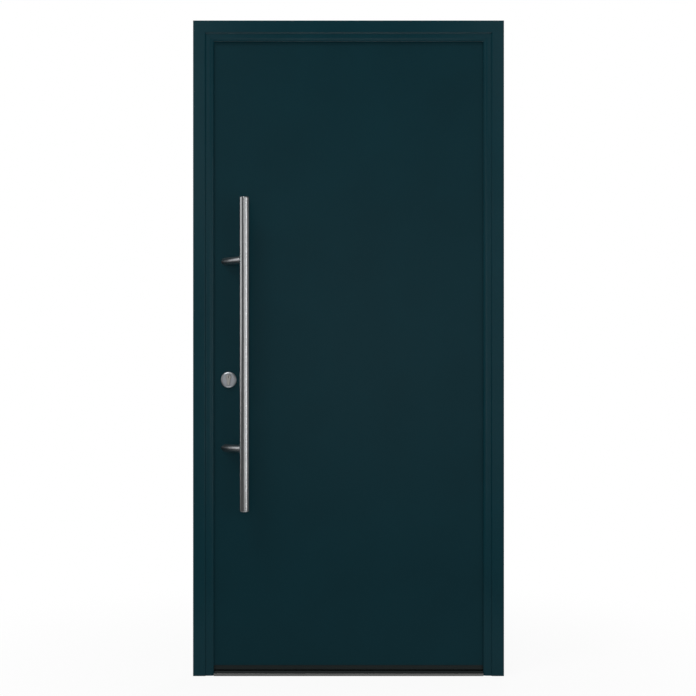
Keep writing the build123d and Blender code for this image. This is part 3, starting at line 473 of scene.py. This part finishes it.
def frame_section():
    """Outline of the frame's outer shell as (across, deep) from its outer front edge: flat band, small step,
    inner band, then a quarter of an ellipse rolling back to the lip, and the rebate behind it."""
    s = sizes()
    step_end = s.front_band + s.step_run
    roll_start = step_end + s.inner_band
    front = rounded(
        [(0, shell_depth), (0, 0), (s.front_band, 0), (step_end, s.step_depth), (roll_start, s.step_depth)],
        [0, s.edge_round, s.step_round, s.step_round, 0],
    )
    angle = np.linspace(-pi / 2, 0, 3 * arc_steps)[1:]
    across = roll_start + (face_width - roll_start) * np.cos(angle)
    deep = s.step_depth + s.roll_depth + s.roll_depth * np.sin(angle)
    back = [(face_width, s.lip_back), (s.rebate_face, s.lip_back), (s.rebate_face, shell_depth)]
    return np.concatenate([front, np.stack([across, deep], axis=1), back])


def jamb_rings(side):
    """The section carried up one side; its upper end is cut at 45 degrees, so z = top - across there."""
    across, deep = frame_section().T
    x = side * (half_width - across)
    y = shell_low.y + deep
    top = frame_top - across - sizes().mitre_gap
    return [points_at(x, y, 0.0), points_at(x, y, top)]


def head_rings():
    """The section carried along the top; both ends are cut at 45 degrees, so |x| = half width - across."""
    across, deep = frame_section().T
    y = shell_low.y + deep
    z = frame_top - across
    end = half_width - across - sizes().mitre_gap
    return [points_at(-end, y, z), points_at(end, y, z)]


class DOOR_OT_frame(bpy.types.Operator):
    """Outer shells of both jambs and the head, with mitred corners"""

    bl_idname = "door.frame"
    bl_label = "Frame"

    def execute(self, context):
        paint = powder_coat("frame_paint", finishes().frame_paint, roughness=0.22, shine=0.13)
        members = {
            "jamb_lock": jamb_rings(-1),
            "jamb_hinge": jamb_rings(1),
            "head": head_rings(),
        }
        for name, rings in members.items():
            profile = ring_surface(f"{name}_profile", rings)
            dress(profile, paint, "frame", "frame_paint", f"{name}_outer")
            coat(paint, f"{name}_inner")
        return {"FINISHED"}


class DOOR_OT_leaf(bpy.types.Operator):
    """Skins, rails and filling of the leaf"""

    bl_idname = "door.leaf"
    bl_label = "Leaf"

    def execute(self, context):
        colours = finishes()
        paint = powder_coat("leaf_paint", colours.leaf_paint, roughness=0.36, shine=0.09)
        coat(paint, "leaf_outer_skin", "leaf_inner_skin")
        rails = [f"leaf_rail_{side}" for side in ("lock", "hinge", "top", "bottom")]
        coat(dull("rail_board", colours.board, grain=900.0, roughness=0.7, spread=0.2), *rails)
        coat(dull("foam", colours.foam, grain=600.0, roughness=0.9, spread=0.15), "leaf_core")
        return {"FINISHED"}


class DOOR_OT_seals(bpy.types.Operator):
    """Gasket, bottom seal, insulating strips and the bottom strip"""

    bl_idname = "door.seals"
    bl_label = "Seals and strips"

    def execute(self, context):
        colours = finishes()
        rubber = dull("rubber", colours.rubber, grain=1500.0, roughness=0.75, spread=0.15)
        coat(rubber, "frame_gasket", "bottom_seal")
        plastic = dull("dark_plastic", colours.plastic, grain=1200.0, roughness=0.6, spread=0.12)
        coat(plastic, "insulating_strips", "bottom_strip", "threshold_bridge")
        return {"FINISHED"}


class DOOR_OT_threshold(bpy.types.Operator):
    """Drawn aluminium of the threshold and the corner cleats"""

    bl_idname = "door.threshold"
    bl_label = "Threshold"

    def execute(self, context):
        drawn = brushed("sill_aluminium", finishes().sill, scale=(6, 1800, 1800), roughness=0.45)
        coat(drawn, "threshold_nose", "threshold_inner", "corner_cleats")
        return {"FINISHED"}


# Pull handle

def bar_rings():
    """The tube and its caps turned about the bar's axis: a flat end, a rounded rim, a fine seam, then the
    straight tube, and the same mirrored at the other end."""
    s = sizes()
    low, high = bar_low.z, bar_high.z
    turn = np.linspace(-pi / 2, 0, arc_steps)
    rim_radius = bar_radius - s.cap_round + s.cap_round * np.cos(turn)
    rim = np.stack([rim_radius, low + s.cap_round + s.cap_round * np.sin(turn)], axis=1)
    middle = low + s.cap_height
    seam = [
        (bar_radius, middle - s.seam_width / 2),
        (bar_radius - s.seam_depth, middle),
        (bar_radius, middle + s.seam_width / 2),
    ]
    lower = np.concatenate([rim, seam])
    upper = lower[::-1] * (1, -1) + (0, low + high)
    return turned_rings(np.concatenate([lower, upper])) + (bar_axis.x, bar_axis.y, 0)


def post_rings(level, radius):
    """A round post from the leaf to the bar, leaning 45 degrees: each line along the post starts where it
    meets the leaf's front plane and ends where it meets the bar's surface."""
    angle = np.linspace(0, 2 * pi, turn_columns, endpoint=False)[:, None]
    along = np.array([1, -1, 0]) / sqrt(2)
    side = np.array([1, 1, 0]) / sqrt(2)
    around = radius * (np.cos(angle) * side + np.sin(angle) * np.array([0, 0, 1]))
    root = np.array([stud_x, leaf_front, level])
    to_leaf = -around[:, 1:2] / along[1]
    reach = (bar_axis.x - stud_x) / along[0]
    to_bar = reach - np.sqrt(bar_radius**2 - (around @ side)[:, None] ** 2)
    return [root + around + to_leaf * along, root + around + to_bar * along]


class DOOR_OT_pull_handle(bpy.types.Operator):
    """Long tubular pull handle on two leaning posts"""

    bl_idname = "door.pull_handle"
    bl_label = "Pull handle"

    def execute(self, context):
        colours = finishes()
        steel = brushed("brushed_bar", colours.stainless, scale=(60, 60, 4000), roughness=0.24)
        bar = ring_surface("pull_tube", bar_rings())
        dress(bar, steel, "leaf", "stainless", "pull_bar", "pull_bar_caps")
        post_steel = brushed("brushed_post", colours.stainless, scale=(2500, 2500, 60), roughness=0.28)
        for end in ("lower", "upper"):
            low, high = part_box(f"pull_standoff_{end}")
            rings = post_rings((low.z + high.z) / 2, (high.z - low.z) / 2)
            post = ring_surface(f"pull_post_{end}", rings)
            dress(post, post_steel, "leaf", "stainless", f"pull_standoff_{end}")
        coat(brushed("stud_steel", colours.zinc, scale=(900, 60, 900), roughness=0.35), "pull_studs")
        return {"FINISHED"}


# Rosettes, cylinder and lever

def profile_edge(angle):
    """How far the cylinder's hole reaches from the rosette's middle along each angle: the farther of a circle
    around the cylinder's axis and a straight stem with a round foot."""
    s = sizes()
    right, up = np.cos(angle), np.sin(angle)
    rise = lock_axis.z - rosette_axis.z
    foot = rise - s.profile_foot
    to_head = rise * up + np.sqrt(s.profile_head**2 - (rise * right) ** 2)
    to_side = s.profile_stem / np.maximum(np.abs(right), least_slope)
    to_top = rise / np.maximum(up, least_slope)
    under = np.maximum(s.profile_stem**2 - (foot * right) ** 2, 0)
    to_foot = foot * up + np.sqrt(under)
    to_stem = np.where(to_side * up < foot, to_foot, np.minimum(to_side, to_top))
    return np.maximum(to_head, to_stem)


def rosette_rings(centre, sign, face, inner_edge):
    """A turned rosette with a shaped hole, on a polar grid: outer wall, bevelled rim, face with a ring
    groove, then the hole's rounded edge and wall, whose distance from the middle is a function of the
    angle."""
    s = sizes()
    angle = np.linspace(0, 2 * pi, rosette_columns, endpoint=False)
    rim = rosette_radius - s.rosette_bevel
    ring_out = rim - s.ring_inset
    ring_in = ring_out - s.ring_width
    floor = rosette_height - s.ring_depth
    outline = rounded(
        [
            (rosette_radius, 0),
            (rosette_radius, rosette_height - s.bevel_height),
            (rim, rosette_height),
            (ring_out, rosette_height),
            (ring_out, floor),
            (ring_in, floor),
            (ring_in, rosette_height),
        ],
        [0, s.rim_round, s.rim_round, s.groove_edge, 0, 0, s.groove_edge],
    )
    edge = rounded(
        [(2 * s.hole_edge, rosette_height), (0, rosette_height), (0, 0)], [0, s.hole_edge, 0]
    )
    wall = np.broadcast_to(outline[:, :1], (len(outline), rosette_columns))
    hole = inner_edge(angle) + edge[:, :1]
    reach = np.concatenate([wall, hole])
    height = np.concatenate([outline[:, 1:], edge[:, 1:]])
    x = centre.x + reach * np.cos(angle)
    z = centre.z + reach * np.sin(angle)
    return points_at(x, face + sign * height, z)


def lever_rings():
    """A round section carried along the lever: straight out of the leaf, a quarter circle of the bend's
    radius, then straight along the leaf. Its radius follows a neck with a small edge, the bar, and a rounded
    end."""
    s = sizes()
    grip_y = grip_high.y - s.lever_radius
    straight = grip_y - grip_low.y - s.lever_bend
    curve = s.lever_bend * pi / 2
    length = straight + curve + grip_high.x - lever_axis.x - s.lever_bend
    neck = rounded(
        [(0, s.neck_radius), (s.neck_length, s.neck_radius), (s.neck_length, s.lever_radius)],
        [0, s.neck_edge, 0],
    )
    stations = np.linspace(straight, straight + curve, 4 * arc_steps)
    bend = np.stack([stations, np.full(len(stations), s.lever_radius)], axis=1)
    turn = np.linspace(0, pi / 2, arc_steps)
    end_along = length - s.lever_round * (1 - np.sin(turn))
    end_radius = s.lever_radius - s.lever_round * (1 - np.cos(turn))
    end = np.stack([end_along, end_radius], axis=1)
    along, radius = np.concatenate([neck, bend, end]).T[:, :, None]
    swing = np.clip((along - straight) / s.lever_bend, 0, pi / 2)
    angle = np.linspace(0, 2 * pi, turn_columns, endpoint=False)
    across = radius * np.cos(angle)
    past = np.maximum(along - straight - curve, 0)
    x = lever_axis.x + s.lever_bend * (1 - np.cos(swing)) + past + across * np.cos(swing)
    y = grip_low.y + np.minimum(along, straight) + s.lever_bend * np.sin(swing) - across * np.sin(swing)
    return points_at(x, y, lever_axis.z + radius * np.sin(angle))


class DOOR_OT_rosettes(bpy.types.Operator):
    """Turned rosettes of the cylinder and the lever"""

    bl_idname = "door.rosettes"
    bl_label = "Rosettes"

    def execute(self, context):
        colours = finishes()
        rim = rosette_radius - sizes().rosette_bevel
        steel = turned("turned_rosette", colours.satin, rosette_axis, roughness=0.46, rim=rim)
        places = {"outside": (-1, leaf_front), "inside": (1, leaf_back)}
        for name, (sign, face) in places.items():
            rings = rosette_rings(rosette_axis, sign, face, profile_edge)
            ring = ring_surface(f"cylinder_rosette_{name}", rings, loop=True)
            dress(ring, steel, "leaf", "stainless", f"rosette_{name}")
        bore = sizes().lever_bore
        rings = rosette_rings(lever_axis, 1, leaf_back, lambda angle: np.full(len(angle), bore))
        ring = ring_surface("lever_ring", rings, loop=True)
        lever_steel = turned("turned_lever_ring", colours.satin, lever_axis, roughness=0.46, rim=rim)
        dress(ring, lever_steel, "leaf", "stainless", "lever_rosette")
        return {"FINISHED"}


class DOOR_OT_lever(bpy.types.Operator):
    """Inside lever, bent from a round bar"""

    bl_idname = "door.lever"
    bl_label = "Lever"

    def execute(self, context):
        steel = brushed("brushed_lever", finishes().stainless, scale=(4000, 60, 60), roughness=0.26)
        lever = ring_surface("lever_bar", lever_rings())
        dress(lever, steel, "lever_set", "stainless", "lever_handle")
        return {"FINISHED"}


class DOOR_OT_lock(bpy.types.Operator):
    """Cylinder, bolts, hooks, plates and cases"""

    bl_idname = "door.lock"
    bl_label = "Lock"

    def execute(self, context):
        colours = finishes()
        nickel = turned("nickel", colours.nickel, lock_axis, roughness=0.42)
        coat(nickel, "cylinder_body", "cylinder_plugs", "cylinder_cam")
        zinc = brushed("zinc_plate", colours.zinc, scale=(1500, 1500, 40), roughness=0.38)
        paired = ("strike", "hook_case", "hook", "drive_rod")
        coat(zinc, *(f"{name}_{end}" for name in paired for end in ("upper", "lower")))
        coat(zinc, "strike_centre", "lock_faceplate", "lock_case", "latch_bolt", "dead_bolt")
        coat(zinc, "lever_spindle", "lock_follower", "cylinder_screw")
        return {"FINISHED"}


# Hinges and screws

def screw_rings(places, outward):
    """Countersunk screws at places, heads facing outward: rings from the recess's floor over the head's flat
    and down its cone and shank. The recess has the radius m + w cos na with n lobes, and each screw is
    turned by its own angle."""
    s = sizes()
    angle = np.linspace(0, 2 * pi, screw_columns, endpoint=False)
    recess = s.recess_radius + s.recess_lobe * np.cos(recess_lobes * angle)
    round_rows = [(s.screw_head, 0), (s.screw_shank, s.head_height), (s.screw_shank, s.screw_length)]
    radius, depth = rounded(round_rows, [s.recess_lobe, 0, s.screw_shank / 2]).T[:, :, None]
    reach = np.concatenate([[recess, recess], np.broadcast_to(radius, (len(radius), screw_columns))])
    sunk = np.concatenate([[[s.recess_depth], [0]], depth])
    places = np.asarray(places, float)
    turns = np.arange(len(places))[:, None] * screw_turn
    out = np.asarray(outward, float)
    up = np.array([0.0, 0.0, 1.0])
    side = np.cross(out, up)
    turn = (angle + turns)[:, None, :]
    lengthways = -np.broadcast_to(sunk, (len(places), *reach.shape))
    local = (reach * np.cos(turn))[..., None] * side + (reach * np.sin(turn))[..., None] * up
    return places[:, None, None, :] + local + lengthways[..., None] * out


def strike_screws():
    """One screw near each end of every strike."""
    inset = sizes().plate_screw_inset
    boxes = [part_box(f"strike_{name}") for name in ("lower", "centre", "upper")]
    return [(high.x, (low.y + high.y) / 2, z) for low, high in boxes for z in (low.z + inset, high.z - inset)]


def hinge_screws(part):
    """Two screws in each hinge plate, near its far edge."""
    s = sizes()
    half = s.hinge_screw_spread / 2
    places = []
    for level in hinge_levels:
        low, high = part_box(f"hinge_{part}_{level}")
        far = high.x - s.hinge_screw_inset if part == "frame" else low.x + s.hinge_screw_inset
        middle = (low.z + high.z) / 2
        places += [(far, leaf_back + s.hinge_plate, z) for z in (middle - half, middle + half)]
    return places


def faceplate_screws():
    """Screws near both ends of the faceplate and beside the lock case."""
    s = sizes()
    low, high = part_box("lock_faceplate")
    case_low, case_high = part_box("lock_case")
    levels = [low.z + s.plate_screw_inset, case_low.z + s.case_screw_inset]
    levels += [case_high.z - s.case_screw_inset, high.z - s.plate_screw_inset]
    return [(low.x, (low.y + high.y) / 2, level) for level in levels]


class DOOR_OT_hinges(bpy.types.Operator):
    """Hinges with their pins and caps"""

    bl_idname = "door.hinges"
    bl_label = "Hinges"

    def execute(self, context):
        steel = brushed("brushed_hinge", finishes().stainless, scale=(60, 60, 2500), roughness=0.32)
        coat(steel, *(f"hinge_{part}_{level}" for part in ("frame", "leaf") for level in hinge_levels))
        coat(steel, "hinge_caps", "hinge_pins")
        return {"FINISHED"}


class DOOR_OT_screws(bpy.types.Operator):
    """Countersunk screws of strikes, hinges and faceplate"""

    bl_idname = "door.screws"
    bl_label = "Screws"

    def execute(self, context):
        zinc = brushed("screw_steel", finishes().zinc, scale=(900, 900, 900), roughness=0.36)
        right, left, inside = (1, 0, 0), (-1, 0, 0), (0, 1, 0)
        fixed = [screw_rings(strike_screws(), right), screw_rings(hinge_screws("frame"), inside)]
        swinging = [screw_rings(faceplate_screws(), left), screw_rings(hinge_screws("leaf"), inside)]
        for body, rings in {"frame": fixed, "leaf": swinging}.items():
            screws = ring_surface(f"{body}_screw_set", np.concatenate(rings))
            dress(screws, zinc, body, "lock_steel", f"{body}_screws")
        return {"FINISHED"}


# Stage

# The middle of the pull bar, which some lamps look at
handle = tuple(bar_axis)

# Each lamp's brightness setting, place, target, and the width and height of its face, in metres
lamps = {
    "key": ("key_glow", (-1.76, -2.29, 5.3), (0, 0, 1.05), 1.6, 1.6),
    "fill": ("fill_glow", (0, -4.4, 1.3), (0, 0, 1.3), 0.7, 1.6),
    "rear": ("rear_glow", (1.2, 4.2, 2.4), (0, 0, 1.1), 1.4, 1.6),
    "low": ("low_glow", (0, -0.75, 0.02), (0, -0.75, 2.0), 1.6, 1.1),
    "corner_left": ("corner_glow", (-1.25, -4.0, 2.7), (-0.48, 0, 1.8), 0.8, 1.6),
    "corner_right": ("corner_glow", (1.25, -4.0, 3.1), (0.48, 0, 2.0), 0.8, 1.0),
    "front": ("front_glow", (0, -4.8, 1.25), (0, 0, 1.25), 1.8, 2.3),
    "wing": ("front_glow", (2.15, -5.5, 1.25), (2.15, 0, 1.25), 1.5, 2.6),
    "strip": ("strip_glow", (2.55, -3.05, 1.2), handle, 0.9, 2.6),
    "side": ("side_glow", (-3.2, -0.75, 1.9), handle, 1.2, 1.8),
    "edge": ("edge_glow", (2.9, -0.45, 1.2), handle, 0.9, 1.8),
}

# Lamps that nothing mirrors, lamps that leave the paint out, and the narrow beam of the lamp on the floor,
# which is only seen in reflections
unmirrored_lamps = ("fill", "rear")
metal_lamps = ("front", "wing", "strip", "side", "edge")
low_spread = radians(60)

# The floor's half width and finish, the distances from the door between which it turns white to the camera,
# the share of white that it has nearer, and the distances between which its glow in reflections fades
floor_reach = 14.0
floor_colour = (0.6, 0.6, 0.6, 1.0)
floor_rough = 0.9
white_reach = (0.5, 2.0)
white_share = 0.92
glow_reach = (0.8, 2.0)

# How far a direction leans back before the world in reflections is white
behind_lean = 0.1


def softbox(name, glow, place, target, width, height, spread=pi):
    """A soft lamp whose face has a given brightness straight ahead, looking at a target and hidden from the
    camera. A spread below half a turn narrows its beam, as a grid in front of it does."""
    lamp = bpy.data.lights.new(name, "AREA")
    lamp.shape = "RECTANGLE"
    lamp.size = width
    lamp.size_y = height
    lamp.spread = spread
    half = spread / 2
    focus = 1 if spread == pi else tan(half) / (tan(half) - half)
    lamp.energy = glow * pi * width * height / focus
    thing = bpy.data.objects.new(name, lamp)
    thing.location = place
    thing.rotation_euler = (Vector(target) - Vector(place)).to_track_quat("-Z", "Y").to_euler()
    thing.visible_camera = False
    bpy.context.scene.collection.objects.link(thing)
    return thing


def painted_pieces():
    """The painted pieces as a set that a lamp leaves out."""
    painted = bpy.data.collections.new("painted")
    paints = {"frame_paint", "leaf_paint"}
    for thing in bpy.context.scene.objects:
        if thing.type == "MESH" and paints & {material.name for material in thing.data.materials}:
            painted.objects.link(thing)
    for member in painted.collection_objects:
        member.light_linking.link_state = "EXCLUDE"
    return painted


def studio_lamps(stage):
    """All the lamps. Those for the metal leave the painted pieces out, so that they don't grey the paint."""
    painted = painted_pieces()
    for name, (setting, *face) in lamps.items():
        low = name == "low"
        lamp = softbox(name, getattr(stage, setting), *face, spread=low_spread if low else pi)
        lamp.visible_diffuse = not low
        lamp.visible_glossy = name not in unmirrored_lamps
        if name in metal_lamps:
            lamp.light_linking.receiver_collection = painted


def studio_world(stage):
    """A world that is white to the camera. In reflections it is white behind the door and dim in front of it,
    and for soft light it is even."""
    world = bpy.data.worlds.new("studio")
    bpy.context.scene.world = world
    world.cycles.sampling_method = "NONE"
    world.use_nodes = True
    nodes = Nodes(world.node_tree)
    ray = nodes.add("ShaderNodeLightPath").outputs
    look = nodes.add("ShaderNodeTexCoord").outputs["Generated"]
    deep = nodes.add("ShaderNodeSeparateXYZ", {0: look}).outputs["Y"]
    behind = nodes.ramp(deep, (0.0, behind_lean), (stage.room_glow, 1.0))
    mirrored = {0: ray["Is Glossy Ray"], 1: ray["Is Transmission Ray"]}
    shiny = nodes.add("ShaderNodeMath", mirrored, operation="MAXIMUM").outputs[0]
    level = nodes.add("ShaderNodeMix", {"Factor": shiny, "A": stage.ambient, "B": behind}).outputs["Result"]
    seen = nodes.add("ShaderNodeMix", {"Factor": ray["Is Camera Ray"], "A": level, "B": 1.0})
    light = nodes.tree.nodes["Background"]
    nodes.fill(light.inputs["Color"], (1, 1, 1, 1))
    nodes.fill(light.inputs["Strength"], seen.outputs["Result"])


def floor_plane(stage):
    """A wide pale floor that keeps the door's shadow near it and turns white to the camera farther off. In
    reflections it glows near the door and fades to the room's brightness."""
    corners = floor_reach * np.array([(-1, -1, 0), (1, -1, 0), (1, 1, 0), (-1, 1, 0)])
    floor = mesh_object("floor", corners, [[0, 1, 2, 3]])
    finish = Finish("pale_floor", metallic=0.0)
    finish.put("Base Color", floor_colour)
    finish.put("Roughness", floor_rough)
    finish.put("Specular IOR Level", 0.0)
    away = finish.add("ShaderNodeVectorMath", {0: finish.place}, operation="LENGTH").outputs["Value"]
    smooth = {"interpolation_type": "SMOOTHSTEP"}
    white = finish.ramp(away, white_reach, (white_share, 1.0), **smooth)
    near = finish.ramp(away, glow_reach, (stage.floor_glow, stage.room_glow), **smooth)
    ray = finish.add("ShaderNodeLightPath").outputs
    shiny = ray["Is Glossy Ray"]
    strength = finish.add("ShaderNodeMix", {"Factor": shiny, "A": 1.0, "B": near}).outputs["Result"]
    plain = {0: ray["Is Camera Ray"], 1: white, 2: shiny}
    share = finish.add("ShaderNodeMath", plain, operation="MULTIPLY_ADD").outputs[0]
    glow = finish.add("ShaderNodeEmission", {"Strength": strength}).outputs[0]
    mix = finish.add("ShaderNodeMixShader", {0: share, 1: finish.shader.outputs[0], 2: glow})
    finish.fill(finish.tree.nodes["Material Output"].inputs["Surface"], mix.outputs[0])
    floor.data.materials.append(finish.material)


def studio_camera(stage):
    """A camera straight in front of the door at eye height. Its lens is shifted so that the whole door is in
    the picture and upright edges stay upright."""
    lens = bpy.data.cameras.new("camera")
    lens.lens = lens.sensor_width * stage.distance / stage.picture_height
    lens.shift_y = (stage.picture_middle - stage.eye_height) / stage.picture_height
    camera = bpy.data.objects.new("camera", lens)
    camera.location = (-stage.picture_shift, shell_low.y - stage.distance, stage.eye_height)
    camera.rotation_euler = (pi / 2, 0, 0)
    bpy.context.scene.collection.objects.link(camera)
    bpy.context.scene.camera = camera


class DOOR_OT_stage(bpy.types.Operator):
    """Floor, soft light and the camera"""

    bl_idname = "door.stage"
    bl_label = "Stage"

    def execute(self, context):
        stage = context.scene.door_stage
        context.scene.view_settings.view_transform = "Standard"
        studio_world(stage)
        floor_plane(stage)
        studio_lamps(stage)
        studio_camera(stage)
        return {"FINISHED"}


operators = (
    DOOR_OT_frame,
    DOOR_OT_leaf,
    DOOR_OT_seals,
    DOOR_OT_threshold,
    DOOR_OT_pull_handle,
    DOOR_OT_rosettes,
    DOOR_OT_lever,
    DOOR_OT_lock,
    DOOR_OT_hinges,
    DOOR_OT_screws,
    DOOR_OT_stage,
)

groups = {"door_finishes": DoorFinishes, "door_sizes": DoorSizes, "door_stage": DoorStage}


class DOOR_PT_panel(bpy.types.Panel):
    """Colours, sizes and pieces of the door"""

    bl_label = "Flush front door"
    bl_idname = "DOOR_PT_panel"
    bl_space_type = "VIEW_3D"
    bl_region_type = "UI"
    bl_category = "Door"

    def draw(self, context):
        for name, group in groups.items():
            column = self.layout.column()
            settings = getattr(context.scene, name)
            for setting in group.__annotations__:
                column.prop(settings, setting)
        for operator in operators:
            self.layout.operator(operator.bl_idname)


def register():
    """Add the settings, the operators and the panel."""
    for name, group in groups.items():
        bpy.utils.register_class(group)
        setattr(bpy.types.Scene, name, PointerProperty(type=group))
    for item in (*operators, DOOR_PT_panel):
        bpy.utils.register_class(item)


def unregister():
    """Take away what register adds."""
    for item in (DOOR_PT_panel, *reversed(operators)):
        bpy.utils.unregister_class(item)
    for name, group in groups.items():
        delattr(bpy.types.Scene, name)
        bpy.utils.unregister_class(group)


def main():
    """Build every piece in order."""
    register()
    for operator in operators:
        family, name = operator.bl_idname.split(".")
        getattr(getattr(bpy.ops, family), name)()


if __name__ == "__main__":
    main()
